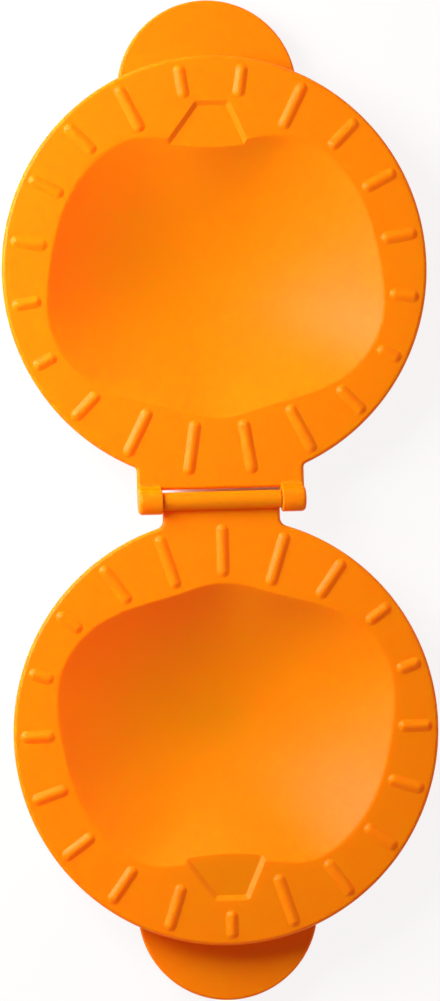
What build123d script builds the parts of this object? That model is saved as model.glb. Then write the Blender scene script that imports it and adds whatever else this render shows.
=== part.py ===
"""Apple-shaped empanada press: two moulded dishes joined by a pin hinge, drawn lying open.

Millimetres. X runs along the hinge pin, +Y points to the upper half, Z is up, and the
origin is on the table straight below the middle of the hinge. Both dishes face up.
"""

import os
from math import asin, degrees, sqrt

from build123d import *

# --- dish ---
# half of the apple outline where the bowl meets the flange, from the bottom of the apple
# (beside the hinge) round to the stem: sideways, and from the flange's middle to the hinge
APPLE = [
    (0, 36.9),
    (12.4, 34.1),
    (22.5, 31.4),
    (32.2, 27.0),
    (41.3, 15.0),
    (41.6, 0),
    (38.3, -13.9),
    (31.0, -26.0),
    (19.3, -32.9),
    (10.6, -32.6),
    (0, -31.7),
]
cup_depth = 13.0
cup_wall = 2.0
cup_middle = 2.5        # deepest point of the bowl, from the flange's middle to the hinge
oval_half_width = 41.5  # oval that the apple turns into on the way down the bowl
oval_half_length = 35.0
foot_trim = 0.8         # height taken off the bowl's underside as a flat foot
floor_size = 0.06       # flat patch left in the middle of the bowl, against the outline
rim_rise = 1.2          # how far the bowl is drawn on above its edge, to cut cleanly
section_count = 7       # outlines that the bowl is drawn through

# --- flange ---
flange_radius = 53.3
flange_thickness = 2.2
rim_round = 0.9

# --- crimping ribs ---
rib_count = 20
rib_width = 2.4
rib_height = 1.1
rib_round = 0.9
rib_rim_gap = 1.5       # from the flange's edge
rib_cup_gap = 1.8       # from the apple's outline
rib_stem_gap = 2.8      # from the stem's outline
shoulder_gap = 1.9      # extra gap of the rib on each shoulder of the apple
shoulder_reach = 20     # degrees from the stem within which a shoulder rib lies
crimp_gap = 0.9         # from a rib's crown to the facing flange when shut

# --- stem recess ---
stem_depth = 1.3
stem_draft = 30
stem_end = 41.7         # from the flange's middle
stem_end_left = 3.4
stem_end_right = 3.6
stem_root = 31.0        # where the stem opens into the bowl
stem_root_left = 11.6
stem_root_right = 8.8
stem_bow = 0.8          # how far the left side curves in
stem_overlap = 3.0      # how far the recess is drawn out over the bowl
stem_corner = 0.8

# --- finger tab ---
tab_radius = 22.6
tab_overhang = 14.2     # beyond the flange's edge
tab_drop = 7.0          # from the flange's face down to the tab's
tab_thickness = 2.0
tab_round = 0.7
web_thickness = 2.0
web_inset = 0.3         # from the flange's edge

# --- hinge ---
hinge_reach = 4.2       # from the flange's edge to the pin
leaf_width = 41.9
leaf_fillet = 1.2
leaf_root = 3.0         # how far a leaf runs on inside the flange's edge
barrel_length = 29.4
barrel_radius = 2.25
barrel_round = 0.4
barrel_leaf_fillet = 2.2
ear_radius = 3.2
ear_fillet = 1.5        # along an ear, on its leaf
ear_foot = 2.25         # how far an ear's section runs on into the leaf
slot_round = 0.3
side_clearance = 0.3    # between an ear and the barrel's end
slot_gap = 0.6          # between the barrel and the leaf behind it

# --- pin ---
pin_diameter = 2.0
pin_press = 0.01        # radial squeeze in the ears
pin_running = 0.08      # radial clearance in the barrel
pin_recess = 0.5        # below the right ear's end
pin_chamfer = 0.2
pin_end_gap = 0.2
blind_wall = 1.8        # closed end of the left ear

# --- derived places ---
flange_y = flange_radius + hinge_reach
face_z = cup_depth + cup_wall - foot_trim
under_z = face_z - flange_thickness
axis_above_face = (rib_height + crimp_gap) / 2
axis_z = face_z + axis_above_face
tab_y = flange_y + flange_radius + tab_overhang - tab_radius
web_radius = flange_radius - web_inset
slot_y = barrel_radius + slot_gap
ear_root = ear_radius + ear_foot
ear_length = leaf_width / 2 - barrel_length / 2 - side_clearance
foot_size = sqrt(foot_trim / cup_depth)
rim_size = sqrt(1 + rim_rise / cup_depth)
leaf_run = hinge_reach + flange_radius - sqrt(flange_radius**2 - (leaf_width / 2) ** 2) + leaf_root
pin_start = -leaf_width / 2 + blind_wall
pin_length = leaf_width - blind_wall - pin_recess


def bowl_points(size):
    """The bowl's outline at this size in plan, going round: an apple at 1, an oval towards 0."""
    points = []
    for x, v in APPLE + [(-x, v) for x, v in APPLE[-2:0:-1]]:
        v -= cup_middle
        to_oval = 1 / sqrt((x / oval_half_width) ** 2 + (v / oval_half_length) ** 2)
        scale = size * (to_oval + (1 - to_oval) * size**2)
        points.append((scale * x, flange_y - cup_middle - scale * v))
    return points


def bowl_z(size):
    """Height of the bowl's inside where its outline has this size: a parabola."""
    return face_z - cup_depth * (1 - size**2)


def steps(first, last, count):
    return [first + (last - first) * i / (count - 1) for i in range(count)]


# ---------------------------------------------------------------- shared shapes

# the hollow of a cup, reaching a little above the flange
with BuildPart() as hollow:
    for size in steps(floor_size, rim_size, section_count):
        with BuildSketch(Plane.XY.offset(bowl_z(size))):
            with BuildLine():
                Spline(*bowl_points(size), periodic=True)
            make_face()
    loft()

# the cup's outside: the same bowl lowered by the wall, ending in the flange and in the foot
with BuildPart() as shell:
    for size in steps(foot_size, rim_size, section_count):
        with BuildSketch(Plane.XY.offset(bowl_z(size) - cup_wall)):
            with BuildLine():
                Spline(*bowl_points(size), periodic=True)
            make_face()
    loft()

# the stem's outline, its left side curving in and its root drawn out over the bowl
with BuildSketch(Plane.XY.offset(face_z)) as stem:
    end_y = flange_y + stem_end
    root_y = flange_y + stem_root
    with BuildLine():
        left_side = ThreePointArc(
            (-stem_root_left, root_y),
            (stem_bow - (stem_end_left + stem_root_left) / 2, (end_y + root_y) / 2 + stem_bow),
            (-stem_end_left, end_y),
        )
        Polyline(
            left_side @ 1,
            (stem_end_right, end_y),
            (stem_root_right, root_y),
            (stem_root_right, root_y - stem_overlap),
            (-stem_root_left, root_y - stem_overlap),
            left_side @ 0,
        )
    make_face()
    fillet(stem.vertices().group_by(Axis.Y)[-1], stem_corner)

# everything that is hollowed out of a half: the bowl and the shallow stem beside it
with BuildPart() as recess:
    add(hollow.part)
    extrude(stem.sketch, amount=-stem_depth, taper=stem_draft)

# the finger tab, and the web that carries it below the flange's edge
with BuildPart() as tab:
    tab_foot = Plane.XY.offset(face_z - tab_drop - tab_thickness)
    with BuildSketch(tab_foot):
        with Locations((0, tab_y)):
            Circle(tab_radius)
    extrude(amount=tab_thickness)
    fillet(tab.edges().filter_by(GeomType.CIRCLE), tab_round)
    with BuildSketch(tab_foot):
        with Locations((0, flange_y)):
            Circle(web_radius - web_thickness)
    extrude(amount=tab_thickness, mode=Mode.SUBTRACT)
    with BuildSketch(tab_foot):
        with Locations((0, flange_y)):
            Circle(web_radius)
            Circle(web_radius - web_thickness, mode=Mode.SUBTRACT)
        with Locations((0, tab_y)):
            Circle(tab_radius - tab_round, mode=Mode.INTERSECT)
    extrude(amount=tab_thickness + tab_drop - flange_thickness / 2)

# where ribs may not start: around the apple and around the stem
with BuildSketch() as rib_limit:
    with BuildLine():
        Spline(*bowl_points(1), periodic=True)
    make_face()
    offset(amount=rib_cup_gap)
    add(offset(stem.sketch.moved(Location((0, 0, -face_z))), rib_stem_gap, mode=Mode.PRIVATE))


def rib_plan(first_angle):
    """Plan of one flange's ribs, the first one this many degrees past the stem."""
    middle = Vector(0, flange_y)
    outer_end = flange_radius - rib_rim_gap - rib_width / 2
    with BuildSketch(Plane.XY.offset(face_z)) as plan:
        for i in range(rib_count):
            angle = first_angle + 360 / rib_count * i
            ray = Edge.make_line(middle, middle + Vector(0, flange_radius).rotate(Axis.Z, angle))
            inner_end = (ray & rib_limit.sketch).length + rib_width / 2
            if first_angle < min(angle, 360 - angle) < shoulder_reach:
                inner_end += shoulder_gap
            if outer_end > inner_end:
                with Locations(middle):
                    with PolarLocations((inner_end + outer_end) / 2, 1, start_angle=90 + angle):
                        SlotCenterToCenter(outer_end - inner_end, rib_width)
    return plan.sketch


os.makedirs("parts", exist_ok=True)

# ---------------------------------------------------------------- upper half: two ears

with BuildPart() as upper_ribs:
    extrude(rib_plan(180 / rib_count), amount=rib_height)
    fillet(upper_ribs.faces().filter_by(Plane.XY).group_by(Axis.Z)[-1].edges(), rib_round)

with BuildPart() as upper_half:
    with BuildSketch(Plane.XY.offset(under_z)) as upper_plan:
        with Locations((0, flange_y)):
            Circle(flange_radius)
        with Locations((0, slot_y)):
            Rectangle(leaf_width, leaf_run, align=(Align.CENTER, Align.MIN))
        fillet(upper_plan.vertices().group_by(Axis.Y)[1], leaf_fillet)
    extrude(amount=flange_thickness)
    for end_x in (-leaf_width / 2, leaf_width / 2 - ear_length):
        with BuildSketch(Plane.YZ.offset(end_x)) as ear_section:
            with BuildLine():
                dip = degrees(asin(axis_above_face / ear_radius))
                eye = CenterArc((0, axis_z), ear_radius, -dip, 270 + dip)
                Polyline(eye @ 1, (ear_root, under_z), (ear_root, face_z), eye @ 0)
            make_face()
            fillet(ear_section.vertices().sort_by_distance(eye @ 0)[0], ear_fillet)
        extrude(amount=ear_length)
    across = upper_half.faces().filter_by(Axis.X).sort_by(Axis.X)
    ear_ends = across[0].edges() + across[-1].edges()
    brim = upper_half.edges().filter_by(Plane.XY).filter_by(GeomType.CIRCLE)
    fillet(ear_ends + brim, rim_round)
    slot_sides = upper_half.faces().filter_by(Axis.X).sort_by(Axis.X)[1:3]
    slot_back = upper_half.faces().filter_by(Axis.Y).sort_by(Axis.Y)[0]
    fillet(slot_sides.edges() + slot_back.edges(), slot_round)
    add(shell.part)
    add(tab.part)
    add(recess.part, mode=Mode.SUBTRACT)
    add(upper_ribs.part)
    with Locations((pin_start - pin_end_gap, 0, axis_z)):
        Cylinder(
            pin_diameter / 2 - pin_press,
            leaf_width,
            rotation=(0, 90, 0),
            align=(Align.CENTER, Align.CENTER, Align.MIN),
            mode=Mode.SUBTRACT,
        )

upper_half.part.label = "upper_half"
export_step(upper_half.part, "parts/upper_half.step")

# ---------------------------------------------------------------- lower half: the barrel

with BuildPart() as lower_ribs:
    extrude(rib_plan(0), amount=rib_height)
    fillet(lower_ribs.faces().filter_by(Plane.XY).group_by(Axis.Z)[-1].edges(), rib_round)

with BuildPart() as barrel:
    with Locations((0, 0, axis_z)):
        Cylinder(barrel_radius, barrel_length, rotation=(0, 90, 0))
    fillet(barrel.edges().filter_by(GeomType.CIRCLE), barrel_round)

with BuildPart() as lower_half:
    with BuildSketch(Plane.XY.offset(under_z)) as lower_plan:
        with Locations((0, -flange_y)):
            Circle(flange_radius)
        Rectangle(barrel_length, leaf_run, align=(Align.CENTER, Align.MAX))
        fillet(lower_plan.vertices().group_by(Axis.Y)[-2], barrel_leaf_fillet)
    extrude(amount=flange_thickness)
    fillet(lower_half.faces().filter_by(Plane.XY).edges(), rim_round)
    mirror(shell.part, about=Plane.XZ)
    mirror(tab.part, about=Plane.XZ)
    mirror(recess.part, about=Plane.XZ, mode=Mode.SUBTRACT)
    mirror(lower_ribs.part, about=Plane.XZ)
    add(barrel.part)
    with Locations((0, 0, axis_z)):
        bore_radius = pin_diameter / 2 + pin_running
        Cylinder(bore_radius, barrel_length, rotation=(0, 90, 0), mode=Mode.SUBTRACT)

lower_half.part.label = "lower_half"
export_step(lower_half.part, "parts/lower_half.step")

# ---------------------------------------------------------------- pin

with BuildPart() as hinge_pin:
    with Locations((pin_start + pin_length / 2, 0, axis_z)):
        Cylinder(pin_diameter / 2, pin_length, rotation=(0, 90, 0))
    chamfer(hinge_pin.edges().filter_by(GeomType.CIRCLE), pin_chamfer)

hinge_pin.part.label = "hinge_pin"
export_step(hinge_pin.part, "parts/hinge_pin.step")
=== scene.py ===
"""Empanada press with an apple-shaped bowl in each half, lying open on a table.

Lengths are in millimetres until a mesh is finished, and metres after that.
X runs along the hinge, +Y points to the upper half and Z is up.
"""

import math

import bmesh
import bpy
import numpy as np
from mathutils import Matrix, Vector


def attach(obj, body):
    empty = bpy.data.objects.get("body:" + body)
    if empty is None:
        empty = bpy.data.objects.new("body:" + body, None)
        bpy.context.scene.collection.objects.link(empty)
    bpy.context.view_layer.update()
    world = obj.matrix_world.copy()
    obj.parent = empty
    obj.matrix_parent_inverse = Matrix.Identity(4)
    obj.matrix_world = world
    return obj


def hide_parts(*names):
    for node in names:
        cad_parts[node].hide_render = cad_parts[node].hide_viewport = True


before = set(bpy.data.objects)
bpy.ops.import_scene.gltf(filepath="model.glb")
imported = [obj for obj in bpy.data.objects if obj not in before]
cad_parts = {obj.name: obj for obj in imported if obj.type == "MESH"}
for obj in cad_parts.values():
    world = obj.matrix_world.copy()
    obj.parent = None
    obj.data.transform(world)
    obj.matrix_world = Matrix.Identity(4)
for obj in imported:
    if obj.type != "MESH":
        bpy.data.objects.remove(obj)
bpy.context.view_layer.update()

# ------------------------------------------------------------------ cups
# The cups are the press's two hollows, moulded in polypropylene in one shot with their flanges.
# Each is one apple outline drawn down smaller and smaller to a parabola's depth, so the filling
# slides out of it; the outside follows the same rule, a wall's thickness lower, down to a flat foot.

apple_outline = [
    (0, 36.9), (12.4, 34.1), (22.5, 31.4), (32.2, 27.0), (41.3, 15.0), (41.6, 0),
    (38.3, -13.9), (31.0, -26.0), (19.3, -32.9), (10.6, -32.6), (0, -31.7),
]
flange_middle = 57.5
cup_middle = flange_middle - 2.5
oval_half_width = 41.5
oval_half_length = 35.0
cup_depth = 13.0
cup_wall = 2.0
bowl_rings = 44
hollow_widest = 1.012
shell_widest = 1.025
face_height = 14.2
flange_thickness = 2.2
underside = face_height - flange_thickness
shell_lid = face_height - 0.6
lip_round = 0.45
root_round = 0.9
foot_round = 0.5
plastic_mottle = (0.95, 0.25, 0.0, 1), (0.96, 0.268, 0.0, 1)
just_over = 0.004


class Wire:
    """One output of a node: sums on it add Math nodes to its tree."""

    def __init__(self, nodes, socket):
        self.nodes = nodes
        self.socket = socket

    def math(self, operation, *values):
        inputs = dict(enumerate(values))
        return self.nodes.add("ShaderNodeMath", {"operation": operation}, inputs)["Value"]

    def __add__(self, other):
        return self.math("ADD", self, other)

    def __radd__(self, other):
        return self.math("ADD", other, self)

    def __sub__(self, other):
        return self.math("SUBTRACT", self, other)

    def __rsub__(self, other):
        return self.math("SUBTRACT", other, self)

    def __mul__(self, other):
        return self.math("MULTIPLY", self, other)

    def __rmul__(self, other):
        return self.math("MULTIPLY", other, self)

    def __truediv__(self, other):
        return self.math("DIVIDE", self, other)

    def __rtruediv__(self, other):
        return self.math("DIVIDE", other, self)

    def __mod__(self, other):
        return self.math("MODULO", self, other)

    def __rmod__(self, other):
        return self.math("MODULO", other, self)

    def __pow__(self, other):
        return self.math("POWER", self, other)

    def __rpow__(self, other):
        return self.math("POWER", other, self)

    def __gt__(self, other):
        return self.math("GREATER_THAN", self, other)

    def __lt__(self, other):
        return self.math("LESS_THAN", self, other)


class Added:
    """A node in a tree: its outputs are read by name, as wires."""

    def __init__(self, nodes, node):
        self.nodes = nodes
        self.node = node

    def __getitem__(self, name):
        return Wire(self.nodes, self.node.outputs[name])


class Nodes:
    """A node tree, emptied and ready to be filled."""

    def __init__(self, tree):
        self.tree = tree
        tree.nodes.clear()

    def add(self, kind, settings=None, inputs=None):
        """A new node of this type: its settings first, then its sockets' values or wires."""
        node = self.tree.nodes.new(kind)
        for name, value in (settings or {}).items():
            setattr(node, name, value)
        for name, value in (inputs or {}).items():
            if isinstance(value, Wire):
                self.tree.links.new(value.socket, node.inputs[name])
            else:
                node.inputs[name].default_value = value
        return Added(self, node)


plastic = bpy.data.materials.new("orange_polypropylene")
plastic.use_nodes = True
nodes = Nodes(plastic.node_tree)
surface = nodes.add("ShaderNodeTexCoord")["Object"]
mottle = nodes.add("ShaderNodeTexNoise", {}, {
    "Vector": surface, "Scale": 60.0, "Detail": 3.0,
})["Fac"]
grain = nodes.add("ShaderNodeTexNoise", {}, {
    "Vector": surface, "Scale": 3200.0, "Detail": 2.0,
})["Fac"]
colour = nodes.add("ShaderNodeMix", {"data_type": "RGBA"}, {
    0: mottle, 6: plastic_mottle[0], 7: plastic_mottle[1],
})[2]
bump = nodes.add("ShaderNodeBump", {}, {
    "Height": grain, "Strength": 0.15, "Distance": 0.0001,
})["Normal"]
shader = nodes.add("ShaderNodeBsdfPrincipled", {}, {
    "Base Color": colour,
    "Roughness": 0.34 + mottle * 0.08,
    "Normal": bump,
    "Subsurface Weight": 0.7,
    "Subsurface Radius": (1.0, 0.075, 0.01),
    "Subsurface Scale": 0.006,
    "IOR": 1.49,
    "Specular IOR Level": 0.12,
})
nodes.add("ShaderNodeOutputMaterial", {}, {"Surface": shader["BSDF"]})


def new_geometry_tree(name, inputs):
    """A Geometry Nodes tree that takes a mesh and these named inputs, and its group input."""
    tree = bpy.data.node_groups.new(name, "GeometryNodeTree")
    tree.interface.new_socket("Geometry", in_out="INPUT", socket_type="NodeSocketGeometry")
    for label, kind in inputs:
        tree.interface.new_socket(label, in_out="INPUT", socket_type="NodeSocket" + kind)
    tree.interface.new_socket("Geometry", in_out="OUTPUT", socket_type="NodeSocketGeometry")
    nodes = Nodes(tree)
    return nodes, nodes.add("NodeGroupInput")


def grown(name, mesh, tree, values):
    """A new object with the mesh that a Geometry Nodes tree makes of this one."""
    seed = bpy.data.objects.new(name, mesh)
    bpy.context.scene.collection.objects.link(seed)
    modifier = seed.modifiers.new(tree.name, "NODES")
    modifier.node_group = tree
    for item in tree.interface.items_tree:
        if item.in_out == "INPUT" and item.name in values:
            modifier[item.identifier] = values[item.name]
    return settled(seed)


def settled(thing):
    """The object with its modifiers' result as its own plain mesh."""
    bpy.context.view_layer.update()
    evaluated = thing.evaluated_get(bpy.context.evaluated_depsgraph_get())
    result = bpy.data.meshes.new_from_object(evaluated)
    thing.modifiers.clear()
    thing.data = result
    return thing


def smooth_loop(points, count):
    """Evenly spaced points on the smooth closed curve through these ones."""
    through = np.array(points, float)
    chord = np.linalg.norm(np.roll(through, -1, 0) - through, axis=1)
    before = np.roll(chord, 1)
    size = len(through)
    system = np.zeros((size, size))
    for i in range(size):
        system[i, i - 1] = 1 / before[i]
        system[i, i] = 2 / before[i] + 2 / chord[i]
        system[i, (i + 1) % size] = 1 / chord[i]
    rise = (np.roll(through, -1, 0) - through) / (chord**2)[:, None]
    slopes = np.linalg.solve(system, 3 * (rise + np.roll(rise, 1, 0)))
    t = np.linspace(0, 1, 60, endpoint=False)[:, None]
    curve = np.concatenate([
        (2 * t**3 - 3 * t**2 + 1) * through[i]
        + (t**3 - 2 * t**2 + t) * chord[i] * slopes[i]
        + (3 * t**2 - 2 * t**3) * through[(i + 1) % size]
        + (t**3 - t**2) * chord[i] * slopes[(i + 1) % size]
        for i in range(size)
    ])
    return evenly(curve, count)


def evenly(curve, count):
    """A closed curve's points moved to equal distances along it."""
    closed = np.vstack([curve, curve[:1]])
    along = np.concatenate([[0], np.cumsum(np.linalg.norm(np.diff(closed, axis=0), axis=1))])
    wanted = np.linspace(0, along[-1], count, endpoint=False)
    return np.stack([np.interp(wanted, along, closed[:, k]) for k in (0, 1)], 1)


right_side = [(x, flange_middle - v) for x, v in apple_outline]
left_side = [(-x, y) for x, y in right_side[-2:0:-1]]
mouth = smooth_loop(right_side + left_side, 320)

nodes, given = new_geometry_tree("bowl", [
    ("Rings", "Int"), ("Middle", "Float"), ("Level", "Float"), ("Depth", "Float"),
    ("Oval Half Width", "Float"), ("Oval Half Length", "Float"),
    ("Widest", "Float"), ("Ceiling", "Float"), ("Ceiling Round", "Float"),
    ("Floor", "Float"), ("Floor Round", "Float"), ("Lid", "Float"), ("Material", "Material"),
])
columns = nodes.add(
    "GeometryNodeAttributeDomainSize", {"component": "MESH"}, {"Geometry": given["Geometry"]}
)["Point Count"]
sheet = nodes.add("GeometryNodeMeshGrid", {}, {
    "Vertices X": columns + 1, "Vertices Y": given["Rings"],
})
index = nodes.add("GeometryNodeInputIndex")["Index"]
ring = index % given["Rings"]
column = ((index - ring) / given["Rings"]) % columns
outline = nodes.add("GeometryNodeSampleIndex", {"data_type": "FLOAT_VECTOR"}, {
    "Geometry": given["Geometry"],
    "Value": nodes.add("GeometryNodeInputPosition")["Position"],
    "Index": column,
})["Value"]
plan = nodes.add("ShaderNodeSeparateXYZ", {}, {"Vector": outline})
under_lid = ring < given["Rings"] - 1.5
size = given["Widest"] * (1 - (1 - ring / (given["Rings"] - 2)) ** 2) * under_lid
bowl = given["Level"] - given["Depth"] * (1 - size * size)
capped = bowl.math("SMOOTH_MIN", bowl, given["Ceiling"], given["Ceiling Round"])
footed = capped.math("SMOOTH_MAX", capped, given["Floor"], given["Floor Round"])
across, away = plan["X"], plan["Y"] - given["Middle"]
to_oval = ((across / given["Oval Half Width"]) ** 2 + (away / given["Oval Half Length"]) ** 2) ** -0.5
scale = size * (to_oval + (1 - to_oval) * size * size)
place = nodes.add("ShaderNodeCombineXYZ", {}, {
    "X": scale * across,
    "Y": given["Middle"] + scale * away,
    "Z": footed * under_lid + given["Lid"] * (1 - under_lid),
})["Vector"]
shaped = nodes.add("GeometryNodeSetPosition", {}, {
    "Geometry": sheet["Mesh"], "Position": place,
})
closed = nodes.add("GeometryNodeMergeByDistance", {}, {
    "Geometry": shaped["Geometry"], "Distance": 0.0005,
})
real = nodes.add("GeometryNodeRealizeInstances", {}, {"Geometry": closed["Geometry"]})
dressed = nodes.add("GeometryNodeSetMaterial", {}, {
    "Geometry": real["Geometry"], "Material": given["Material"],
})
nodes.add("NodeGroupOutput", {}, {"Geometry": dressed["Geometry"]})
bowl_tree = nodes.tree


def outward(mesh):
    """The mesh with its doubles merged and every face turned outwards."""
    work = bmesh.new()
    work.from_mesh(mesh)
    bmesh.ops.remove_doubles(work, verts=work.verts, dist=0.0002)
    bmesh.ops.dissolve_degenerate(work, edges=work.edges, dist=0.0002)
    bmesh.ops.recalc_face_normals(work, faces=work.faces)
    work.to_mesh(mesh)
    work.free()
    return mesh


def loop_mesh(name, loop):
    """A closed line of vertices in plan."""
    mesh = bpy.data.meshes.new(name)
    edges = [(i, (i + 1) % len(loop)) for i in range(len(loop))]
    mesh.from_pydata([(x, y, 0) for x, y in loop], edges, [])
    return mesh


def bowl_solid(name, values):
    """A closed bowl under a lid, from the apple outline."""
    solid = grown(name, loop_mesh(name, mouth), bowl_tree, {
        "Rings": bowl_rings, "Middle": cup_middle, "Depth": cup_depth,
        "Oval Half Width": oval_half_width, "Oval Half Length": oval_half_length,
        "Material": plastic, **values,
    })
    outward(solid.data)
    return solid


def new_hollow(name):
    """What the cup's inside takes away, a little wider than the mouth and without a floor."""
    return bowl_solid(name, {
        "Level": face_height, "Widest": hollow_widest,
        "Ceiling": face_height + just_over, "Ceiling Round": lip_round,
        "Floor": -50.0, "Floor Round": 0.1, "Lid": face_height + 8.0,
    })


def new_shell(name):
    """The cup's outside down to its foot, with its lid inside the flange."""
    return bowl_solid(name, {
        "Level": face_height - cup_wall, "Widest": shell_widest,
        "Ceiling": underside + just_over, "Ceiling Round": root_round,
        "Floor": 0.0, "Floor Round": foot_round, "Lid": shell_lid,
    })


# ------------------------------------------------------------------ flanges
# Each half's flange is a thin disc round its cup, drawn out at the hinge into a square-cornered
# leaf. It is moulded in one with the cup, and its edge is rounded over so that it can be pressed
# on by hand.

flange_radius = 53.3
rim_round = 1.0
upper_leaf = {"half_width": 20.95, "front": 2.85, "fillet": 1.2}
lower_leaf = {"half_width": 14.7, "front": 0.0, "fillet": 2.2}
leaf_corner = 1.1


def arc(middle, radius, first, last, step=6.0):
    """Points on an arc between two angles in degrees."""
    count = max(2, round(abs(last - first) / step) + 1)
    angles = np.radians(np.linspace(first, last, count))
    return np.stack([middle[0] + radius * np.cos(angles), middle[1] + radius * np.sin(angles)], 1)


def mirrored_loop(right):
    """A closed loop from its right side, which runs anticlockwise from the near end to the far."""
    left = right[::-1] * (-1, 1)
    loop = np.vstack([right, left])
    gap = np.linalg.norm(loop - np.roll(loop, 1, 0), axis=1)
    return loop[gap > 0.001]


def flange_loop(half_width, front, fillet):
    """Plan of a flange and its leaf."""
    notch_x = half_width + fillet
    notch_y = flange_middle - math.sqrt((flange_radius + fillet) ** 2 - notch_x**2)
    meeting = math.degrees(math.atan2(notch_y - flange_middle, notch_x))
    corner = (half_width - leaf_corner, front + leaf_corner)
    return mirrored_loop(np.vstack([
        [(0, front)],
        arc(corner, leaf_corner, -90, 0, 15),
        arc((notch_x, notch_y), fillet, 180, 180 + meeting, 12),
        arc((0, flange_middle), flange_radius, meeting, 90, 0.75),
    ]))


def inset(loop, distance):
    """The loop moved inwards, its corners mitred."""
    ahead = np.roll(loop, -1, 0) - loop
    ahead /= np.linalg.norm(ahead, axis=1)[:, None]
    behind = np.roll(ahead, 1, 0)
    inward = np.stack([-ahead[:, 1] - behind[:, 1], ahead[:, 0] + behind[:, 0]], 1)
    return loop + distance * inward / (1 + (ahead * behind).sum(1))[:, None]


def skin(name, rows):
    """A closed mesh through rows of as many points each, its two ends filled."""
    mesh = bpy.data.meshes.new(name)
    count = len(rows[0])
    faces = [tuple(range(count))[::-1], tuple(range(len(rows) * count - count, len(rows) * count))]
    for r in range(len(rows) - 1):
        for i in range(count):
            j = (i + 1) % count
            faces.append((r * count + i, r * count + j, (r + 1) * count + j, (r + 1) * count + i))
    mesh.from_pydata(np.vstack(rows).tolist(), [], faces)
    thing = bpy.data.objects.new(name, mesh)
    bpy.context.scene.collection.objects.link(thing)
    return thing


def slab(name, loop, low, high, low_round=0.0, high_round=0.0, along=(0, 1, 2), steps=5):
    """A solid of this outline between two levels, its edges rounded over.

    The outline's two lengths and the level go to the axes that along names.
    """
    rows = []
    for share in np.linspace(0, 90, steps if low_round else 1):
        turn = math.radians(share)
        rows.append((low_round * (1 - math.sin(turn)), low + low_round * (1 - math.cos(turn))))
    for share in np.linspace(90, 0, steps if high_round else 1):
        turn = math.radians(share)
        rows.append((high_round * (1 - math.sin(turn)), high - high_round * (1 - math.cos(turn))))
    placed = []
    for distance, level in rows:
        flat = inset(loop, distance)
        row = np.zeros((len(loop), 3))
        row[:, along[0]], row[:, along[1]], row[:, along[2]] = flat[:, 0], flat[:, 1], level
        placed.append(row)
    return skin(name, placed)


def new_flange(name, leaf):
    """A flange and its leaf, still solid where the cup goes."""
    return slab(name, flange_loop(**leaf), underside, face_height, rim_round, rim_round, steps=9)


# ------------------------------------------------------------------ finger tabs
# A half-moon tab stands out of each flange opposite the hinge, to pull the press open by. It is
# moulded lower than the flange, and a short curved web carries it under the flange's edge.

tab_radius = 22.6
tab_overhang = 14.2
tab_middle = flange_middle + flange_radius + tab_overhang - tab_radius
tab_low, tab_high = 5.2, 7.2
tab_round = 0.7
web_thickness = 2.0
web_outside = flange_radius - 0.3
web_inside = web_outside - web_thickness
web_low = tab_low + 0.5
web_top = underside + 1.1


def half_angle(radius, other):
    """Degrees from the middle line to where a circle round the flange's middle meets the tab's."""
    apart = tab_middle - flange_middle
    return math.degrees(math.acos((radius**2 + apart**2 - other**2) / (2 * radius * apart)))


def new_tab(name):
    """A tab, from the inside of its web out to its rim."""
    inner = half_angle(web_inside, tab_radius)
    root = arc((0, flange_middle), web_inside, 90 + inner, 90 - inner, 1.5)
    start = math.degrees(math.atan2(root[-1][1] - tab_middle, root[-1][0]))
    rim = arc((0, tab_middle), tab_radius, start, 180 - start, 2)
    loop = np.vstack([root[2:-2], rim[:1], rim[3:-3], rim[-1:]])
    return slab(name, loop, tab_low, tab_high, tab_round, tab_round)


def new_web(name):
    """The web between a tab and the underside of its flange."""
    inner = half_angle(web_inside, tab_radius - tab_round)
    outer = half_angle(web_outside, tab_radius - tab_round)
    inside = arc((0, flange_middle), web_inside, 90 + inner, 90 - inner, 1.5)
    outside = arc((0, flange_middle), web_outside, 90 - outer, 90 + outer, 1.5)
    return slab(name, np.vstack([inside, outside]), web_low, web_top)


# ------------------------------------------------------------------ hinge eyes
# The upper half ends in two ears and the lower half in the barrel that turns between them. All
# are moulded on their leaves, just above the flanges, so that the halves meet face to face with
# the crimping ribs between them.

axis_height = 15.2
ear_radius = 3.2
ear_root = 5.45
ear_fillet = 1.5
ear_inside = 15.0
ear_outside = upper_leaf["half_width"]
ear_inside_round = 0.3
barrel_radius = 2.25
barrel_half = 14.82
barrel_round = 0.4
barrel_bore = 1.08
ear_bore = 0.99
blind_end = -19.35
past_the_end = 30.0


def ear_loop():
    """Side view of an ear: round the pin, and filleted onto its leaf's face."""
    centre_y = math.sqrt((ear_radius + ear_fillet) ** 2 - (face_height + ear_fillet - axis_height) ** 2)
    rise = math.degrees(math.atan2(face_height + ear_fillet - axis_height, centre_y))
    return np.vstack([
        [(ear_root, underside)],
        [(ear_root, face_height)],
        arc((centre_y, face_height + ear_fillet), ear_fillet, 270, 180 + rise, 12),
        arc((0, axis_height), ear_radius, rise, 270, 9)[1:],
    ])


def new_ear(name, start, end, start_round, end_round):
    """An ear between two places along the hinge."""
    return slab(name, ear_loop(), start, end, start_round, end_round, (1, 2, 0))


def new_round_bar(name, radius, start, end, rounding=0.0):
    """A round bar on the hinge's axis."""
    circle = arc((0, axis_height), radius, 0, 354, 6)
    return slab(name, circle, start, end, rounding, rounding, (1, 2, 0))


# ------------------------------------------------------------------ stem recesses
# A shallow recess on each flange, opposite the hinge, gives the pressed dough its apple's stem.
# Its sides slope out for the mould, and its left side bows in.

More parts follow.
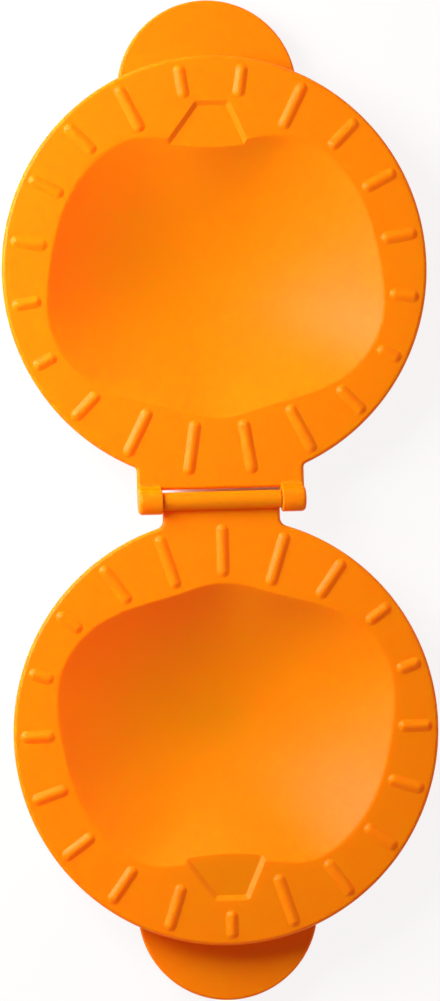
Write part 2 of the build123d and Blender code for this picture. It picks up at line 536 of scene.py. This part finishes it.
stem_depth = 0.95
stem_slope = 53
stem_edge_round = 0.7
stem_bow = 0.5
stem_end = flange_middle + 42.1
stem_root = flange_middle + 31.0
stem_end_sides = (-4.1, 4.5)
stem_root_sides = (-12.4, 9.4)
stem_corner = 1.3
stem_overlap = 3.0


def rounded_corner(before, corner, after, radius, count=5):
    """Points of a fillet that cuts this corner."""
    before, corner, after = (np.array(p, float) for p in (before, corner, after))
    one = (before - corner) / np.linalg.norm(before - corner)
    two = (after - corner) / np.linalg.norm(after - corner)
    half = math.acos(float(one @ two)) / 2
    middle = corner + (one + two) / np.linalg.norm(one + two) * radius / math.sin(half)
    starts = corner + one * radius / math.tan(half) - middle
    ends = corner + two * radius / math.tan(half) - middle
    turn = math.atan2(starts[0] * ends[1] - starts[1] * ends[0], float(starts @ ends))
    return [
        middle + (math.cos(a) * starts[0] - math.sin(a) * starts[1],
                  math.sin(a) * starts[0] + math.cos(a) * starts[1])
        for a in np.linspace(0, turn, count)
    ]


def stem_loop():
    """The recess's outline at the flange's face, anticlockwise from its right root."""
    (end_left, end_right), (root_left, root_right) = stem_end_sides, stem_root_sides
    middle = np.array([(end_left + root_left) / 2 + stem_bow, (stem_end + stem_root) / 2 + stem_bow])
    far, near = np.array([end_left, stem_end]), np.array([root_left, stem_root])
    bend = middle - (far + near) / 2
    left = [far + (near - far) * t + bend * 4 * t * (1 - t) for t in np.linspace(0, 1, 12)]
    right_corner = rounded_corner(
        (root_right, stem_root), (end_right, stem_end), (end_left, stem_end), stem_corner)
    left_corner = rounded_corner((end_right, stem_end), far, left[2], stem_corner)
    return np.array(
        [(root_right, stem_root - stem_overlap), (root_right, stem_root)]
        + right_corner + left_corner + left[2:] + [(root_left, stem_root - stem_overlap)])


def new_stem_cutter(name):
    """What the recess takes away: sloping sides that round over into the flange's face."""
    slope = math.radians(90 - stem_slope)
    tangent = stem_edge_round * math.tan(slope / 2)
    loop = stem_loop()
    rows = [(stem_depth / math.tan(slope), -stem_depth)]
    for turn in np.linspace(slope, 0, 6):
        rows.append((
            stem_edge_round * math.sin(turn) - tangent,
            just_over - stem_edge_round * (1 - math.cos(turn)),
        ))
    rows.append((-tangent, 2.0))
    return skin(name, [
        np.column_stack([inset(loop, distance), np.full(len(loop), face_height + level)])
        for distance, level in rows
    ])


# ------------------------------------------------------------------ crimping ribs
# Twenty short ribs stand round each flange like the hours on a dial, moulded on it, and press the
# two layers of dough together. The upper half's lie between the lower half's in the shut press.
# They reach from near the rim to near the apple's outline, so their lengths differ.

rib_count = 20
rib_height = 0.72
rib_foot_width = 3.4
rib_sunk = 0.4
rib_rim_gap = 1.5
rib_cup_gap = 1.3
rib_stem_gap = 2.3
shoulder_gap = 1.9
shoulder_reach = 20


def rib_blank(name):
    """A round button of the ribs' section, which the tree pulls out into a rib."""
    rows = [(rib_foot_width / 2, -rib_sunk)]
    for share in np.linspace(1, 0.03, 14):
        swell = (1 - share**2) ** 1.5
        rows.append((share * rib_foot_width / 2, rib_height * swell - just_over))
    return skin(name, [
        np.column_stack([arc((0, 0), r, 5.625, 354.375, 11.25), np.full(32, face_height + z)])
        for r, z in rows
    ])


def rib_limit():
    """The line round the apple and its stem that the ribs stay outside of.

    Its points lie between the directions of the ribs, so that no rib looks out through an edge.
    """
    angles = np.radians(np.arange(0.75, 360, 1.5))
    limit = []
    apple, stem = inset(mouth, -rib_cup_gap), inset(stem_loop(), -rib_stem_gap)
    for angle in angles:
        heading = np.array([math.cos(angle), math.sin(angle)])
        reach = max(crossing(apple, heading), crossing(stem, heading))
        limit.append((heading[0] * reach, flange_middle + heading[1] * reach))
    return np.array(limit)


def crossing(loop, heading):
    """How far from the flange's middle a line in this direction last meets the loop, or 0."""
    start = loop - (0, flange_middle)
    side = start @ (-heading[1], heading[0])
    along = start @ heading
    after, further = np.roll(side, -1), np.roll(along, -1)
    met = (side * after <= 0) & (side != after)
    share = np.where(met, side / np.where(met, side - after, 1), 0)
    reached = np.where(met, along + share * (further - along), 0)
    return max(float(reached.max()), 0.0)


nodes, given = new_geometry_tree("crimping_ribs", [
    ("Limit", "Object"), ("Count", "Int"), ("First Angle", "Float"), ("Middle", "Float"),
    ("Outer End", "Float"), ("Cup Gap", "Float"), ("Shoulder Gap", "Float"),
    ("Shoulder Reach", "Float"), ("Material", "Material"),
])
points = nodes.add("GeometryNodePoints", {}, {"Count": given["Count"]})
step = nodes.add("GeometryNodeInputIndex")["Index"] * (2 * math.pi) / given["Count"]
angle = given["First Angle"] + step
heading = nodes.add("ShaderNodeCombineXYZ", {}, {
    "X": 0 - angle.math("SINE", angle), "Y": angle.math("COSINE", angle),
})["Vector"]
centre = nodes.add("ShaderNodeCombineXYZ", {}, {"Y": given["Middle"]})["Vector"]
fence = nodes.add("GeometryNodeObjectInfo", {}, {"Object": given["Limit"]})
hit = nodes.add("GeometryNodeRaycast", {}, {
    "Target Geometry": fence["Geometry"], "Source Position": centre, "Ray Direction": heading,
})["Hit Distance"]
from_stem = angle.math("MINIMUM", angle, 2 * math.pi - angle)
on_shoulder = (from_stem > given["First Angle"] + 0.001) * (from_stem < given["Shoulder Reach"])
inner = hit + given["Cup Gap"] + on_shoulder * given["Shoulder Gap"]
half_length = (given["Outer End"] - inner) / 2
spot = nodes.add("ShaderNodeVectorMath", {"operation": "MULTIPLY_ADD"}, {
    0: heading,
    1: nodes.add("ShaderNodeCombineXYZ", {}, {
        "X": inner + half_length, "Y": inner + half_length,
    })["Vector"],
    2: centre,
})["Vector"]
pull = nodes.add("ShaderNodeVectorMath", {"operation": "SCALE"}, {
    "Vector": heading, "Scale": half_length,
})["Vector"]
placed = nodes.add("GeometryNodeSetPosition", {}, {
    "Geometry": points["Points"], "Position": spot,
})
pulled = nodes.add("GeometryNodeStoreNamedAttribute", {"data_type": "FLOAT_VECTOR"}, {
    "Geometry": placed["Geometry"], "Name": "pull", "Value": pull,
})
local = nodes.add("ShaderNodeSeparateXYZ", {}, {
    "Vector": nodes.add("GeometryNodeInputPosition")["Position"],
})
sided = nodes.add("GeometryNodeStoreNamedAttribute", {"data_type": "FLOAT"}, {
    "Geometry": given["Geometry"], "Name": "end", "Value": local["X"].math("SIGN", local["X"]),
})
turned = nodes.add("ShaderNodeCombineXYZ", {}, {"Z": angle + math.pi / 2})["Vector"]
copies = nodes.add("GeometryNodeInstanceOnPoints", {}, {
    "Points": pulled["Geometry"],
    "Selection": half_length > 0.05,
    "Instance": sided["Geometry"],
    "Rotation": turned,
})
real = nodes.add("GeometryNodeRealizeInstances", {}, {"Geometry": copies["Instances"]})
stretch = nodes.add("ShaderNodeVectorMath", {"operation": "SCALE"}, {
    "Vector": nodes.add("GeometryNodeInputNamedAttribute", {"data_type": "FLOAT_VECTOR"},
                        {"Name": "pull"})["Attribute"],
    "Scale": nodes.add("GeometryNodeInputNamedAttribute", {"data_type": "FLOAT"},
                       {"Name": "end"})["Attribute"],
})["Vector"]
drawn = nodes.add("GeometryNodeSetPosition", {}, {
    "Geometry": real["Geometry"], "Offset": stretch,
})
dressed = nodes.add("GeometryNodeSetMaterial", {}, {
    "Geometry": drawn["Geometry"], "Material": given["Material"],
})
nodes.add("NodeGroupOutput", {}, {"Geometry": dressed["Geometry"]})
rib_tree = nodes.tree

fence_loop = rib_limit()
fence_low = np.column_stack([fence_loop, np.full(len(fence_loop), -1.0)])
fence = skin("rib_fence", [fence_low, fence_low + (0, 0, 2.0)])


def new_ribs(name, first_angle):
    """A flange's ring of ribs, the first this many degrees past the stem's middle line."""
    blank = rib_blank(name)
    ribs = grown(name + "_ring", blank.data, rib_tree, {
        "Limit": fence, "Count": rib_count, "First Angle": math.radians(first_angle),
        "Middle": flange_middle, "Outer End": flange_radius - rib_rim_gap - rib_foot_width / 2,
        "Cup Gap": rib_foot_width / 2,
        "Shoulder Gap": shoulder_gap, "Shoulder Reach": math.radians(shoulder_reach),
        "Material": plastic,
    })
    bpy.data.objects.remove(blank)
    outward(ribs.data)
    return ribs


# ------------------------------------------------------------------ halves
# A half leaves its mould as one piece of orange polypropylene: cup, flange, tab, ribs and hinge
# eyes. The upper one has the ears, which hold the pin, and the lower one has the barrel.


def joined(base, operation, others):
    """The first solid with the others added or taken away."""
    for other in others:
        modifier = base.modifiers.new(other.name, "BOOLEAN")
        modifier.operation = operation
        modifier.solver = "MANIFOLD"
        modifier.object = other
    settled(base)
    for other in others:
        bpy.data.objects.remove(other)
    return base


def finished(solid, material, across=1):
    """The solid in metres, on its own side of the hinge, smooth and in its material."""
    mesh = solid.data
    mesh.transform(Matrix.Diagonal((0.001, across * 0.001, 0.001, 1)))
    if across < 0:
        mesh.flip_normals()
    mesh.materials.clear()
    mesh.materials.append(material)
    mesh.shade_smooth()
    mesh.set_sharp_from_angle(angle=math.radians(34))
    evened = solid.modifiers.new("evened_shading", "WEIGHTED_NORMAL")
    evened.keep_sharp = True
    return settled(solid)


upper = joined(new_flange("upper_dish", upper_leaf), "UNION", [
    new_shell("upper_shell"), new_tab("upper_tab"), new_web("upper_web"),
    new_ear("left_ear", -ear_outside, -ear_inside, rim_round, ear_inside_round),
    new_ear("right_ear", ear_inside, ear_outside, ear_inside_round, rim_round),
    new_ribs("upper_ribs", 180 / rib_count),
])
joined(upper, "DIFFERENCE", [
    new_hollow("upper_hollow"), new_stem_cutter("upper_stem"),
    new_round_bar("ear_hole", ear_bore, blind_end, past_the_end),
])
finished(upper, plastic)
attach(upper, "upper")
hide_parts("upper_half")

lower = joined(new_flange("lower_dish", lower_leaf), "UNION", [
    new_shell("lower_shell"), new_tab("lower_tab"), new_web("lower_web"),
    new_round_bar("barrel", barrel_radius, -barrel_half, barrel_half, barrel_round),
    new_ribs("lower_ribs", 0),
])
joined(lower, "DIFFERENCE", [
    new_hollow("lower_hollow"), new_stem_cutter("lower_stem"),
    new_round_bar("barrel_hole", barrel_bore, -past_the_end, past_the_end),
])
finished(lower, plastic, across=-1)
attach(lower, "lower")
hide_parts("lower_half")
bpy.data.objects.remove(fence)

# ------------------------------------------------------------------ hinge pin
# A plain pin cut from drawn steel wire and tumbled smooth. It is pressed through the right ear and
# the barrel into the left ear's blind hole, so only its right end shows.

pin_radius = 1.0
pin_start, pin_end = -19.15, 20.45
pin_end_round = 0.2

steel = bpy.data.materials.new("drawn_steel")
steel.use_nodes = True
nodes = Nodes(steel.node_tree)
surface = nodes.add("ShaderNodeTexCoord")["Object"]
along_the_wire = nodes.add("ShaderNodeMapping", {}, {
    "Vector": surface, "Scale": (60.0, 2500.0, 2500.0),
})["Vector"]
lines = nodes.add("ShaderNodeTexNoise", {}, {
    "Vector": along_the_wire, "Scale": 1.0, "Detail": 3.0,
})["Fac"]
shader = nodes.add("ShaderNodeBsdfPrincipled", {}, {
    "Base Color": (0.56, 0.55, 0.53, 1),
    "Metallic": 1.0,
    "Roughness": 0.22 + lines * 0.22,
})
nodes.add("ShaderNodeOutputMaterial", {}, {"Surface": shader["BSDF"]})

pin = new_round_bar("steel_pin", pin_radius, pin_start, pin_end, pin_end_round)
finished(pin, steel)
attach(pin, "upper")
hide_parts("hinge_pin")

# ------------------------------------------------------------------ table
# A white table top with a dull face, just under the cups' feet. It takes the press's soft shadow,
# which is full in the strip under the hinge, and pales towards the edges of the view.

table_half = 3.0
table_gap = 0.0002
near_white, far_white = 0.88, 0.98
hinge_strip_middle = (0.0045, 0.0026)
hinge_strip_half = (0.0115, 0.001)
hinge_strip_fade = (0.006, 0.0012)

table_mesh = bpy.data.meshes.new("table")
table_mesh.from_pydata([
    (-table_half, -table_half, 0), (table_half, -table_half, 0),
    (table_half, table_half, 0), (-table_half, table_half, 0),
], [], [(0, 1, 2, 3)])
table = bpy.data.objects.new("table", table_mesh)
bpy.context.scene.collection.objects.link(table)
table.location.z = -table_gap


def shown_white(nodes):
    """1 where the white is looked at, straight or in a shiny or clear piece, and 0 where it lights."""
    path = nodes.add("ShaderNodeLightPath")
    shown = path["Is Camera Ray"]
    for ray in ("Is Glossy Ray", "Is Transmission Ray"):
        shown = shown.math("MAXIMUM", shown, path[ray])
    return shown


white = bpy.data.materials.new("white_table")
white.use_nodes = True
nodes = Nodes(white.node_tree)
place = nodes.add("ShaderNodeTexCoord")["Object"]
from_press = nodes.add("ShaderNodeVectorMath", {"operation": "LENGTH"}, {0: place})["Value"]
whiter = nodes.add("ShaderNodeMapRange", {"interpolation_type": "SMOOTHSTEP"}, {
    "Value": from_press, "From Min": 0.12, "From Max": 0.4,
    "To Min": near_white, "To Max": far_white,
})["Result"]
flat = nodes.add("ShaderNodeSeparateXYZ", {}, {"Vector": place})
beside, before = flat["X"] - hinge_strip_middle[0], flat["Y"] - hinge_strip_middle[1]
past_side = (beside.math("ABSOLUTE", beside) - hinge_strip_half[0]) / hinge_strip_fade[0]
past_front = (before.math("ABSOLUTE", before) - hinge_strip_half[1]) / hinge_strip_fade[1]
past_strip = nodes.add("ShaderNodeMapRange", {"interpolation_type": "SMOOTHSTEP"}, {
    "Value": past_side.math("MAXIMUM", past_side, past_front),
    "From Min": 0.0, "From Max": 1.0, "To Min": 0.0, "To Max": 1.0,
})["Result"]
board = nodes.add("ShaderNodeBsdfDiffuse", {}, {"Color": (0.93, 0.93, 0.93, 1)})["BSDF"]
plain_white = nodes.add("ShaderNodeEmission", {}, {"Color": (1, 1, 1, 1), "Strength": 1.0})["Emission"]
table_top = nodes.add("ShaderNodeMixShader", {}, {
    0: shown_white(nodes) * whiter * past_strip, 1: board, 2: plain_white,
})["Shader"]
nodes.add("ShaderNodeOutputMaterial", {}, {"Surface": table_top})
table_mesh.materials.append(white)

# ------------------------------------------------------------------ light
# A square window light stands on the left behind the upper half, turned a little towards the
# lower one. The low part of a warm pale room fills the shade.

room_colour = (1, 0.49, 0.34, 1)
room_level = 0.8
window_bearing, window_height = math.radians(151), math.radians(36)
window_distance = 0.42
window_side = 0.28
window_power = 3.22
window_faces = Vector((-0.12, -0.12, 0))

world = bpy.data.worlds.new("studio")
bpy.context.scene.world = world
world.use_nodes = True
nodes = Nodes(world.node_tree)
towards = nodes.add("ShaderNodeTexCoord")["Generated"]
height = nodes.add("ShaderNodeSeparateXYZ", {}, {"Vector": towards})["Z"]
low_room = nodes.add("ShaderNodeMapRange", {"interpolation_type": "SMOOTHSTEP"}, {
    "Value": height, "From Min": 0.85, "From Max": 0.5, "To Min": 0.0, "To Max": room_level,
})["Result"]
room = nodes.add("ShaderNodeBackground", {}, {
    "Color": room_colour, "Strength": low_room,
})["Background"]
backdrop = nodes.add("ShaderNodeBackground", {}, {
    "Color": (1, 1, 1, 1), "Strength": 1.0,
})["Background"]
around = nodes.add("ShaderNodeMixShader", {}, {0: shown_white(nodes), 1: room, 2: backdrop})
nodes.add("ShaderNodeOutputWorld", {}, {"Surface": around["Shader"]})

window = bpy.data.lights.new("window", "AREA")
window.shape = "SQUARE"
window.size = window_side
window.energy = window_power
window_frame = bpy.data.objects.new("window", window)
window_frame.location = window_distance * Vector((
    math.cos(window_height) * math.cos(window_bearing),
    math.cos(window_height) * math.sin(window_bearing),
    math.sin(window_height),
))
window_frame.rotation_mode = "QUATERNION"
window_frame.rotation_quaternion = (window_frame.location - window_faces).to_track_quat("Z", "Y")
bpy.context.scene.collection.objects.link(window_frame)

# ------------------------------------------------------------------ camera
# The camera looks down at the open press from high above it, with a slight lean from the left.

lens_distance = 1.5
seen_height = 0.2490
sensor_height = 36
lean, turn = math.radians(7.2), math.radians(1.482)
aim = Vector((-0.00037, -0.00005, 0.0142))

camera = bpy.data.cameras.new("camera")
camera.lens = sensor_height * lens_distance / seen_height
camera.clip_end = 20
viewer = bpy.data.objects.new("camera", camera)
right = Vector((math.cos(turn), -math.sin(turn), 0))
up = Vector((math.sin(turn), math.cos(turn), 0))
back = Vector((0, 0, 1)) * math.cos(lean) - right * math.sin(lean)
side = up.cross(back)
viewer.matrix_world = Matrix((
    (side.x, up.x, back.x, aim.x + back.x * lens_distance),
    (side.y, up.y, back.y, aim.y + back.y * lens_distance),
    (side.z, up.z, back.z, aim.z + back.z * lens_distance),
    (0, 0, 0, 1),
))
bpy.context.scene.collection.objects.link(viewer)
bpy.context.scene.camera = viewer
bpy.context.scene.view_settings.view_transform = "Standard"
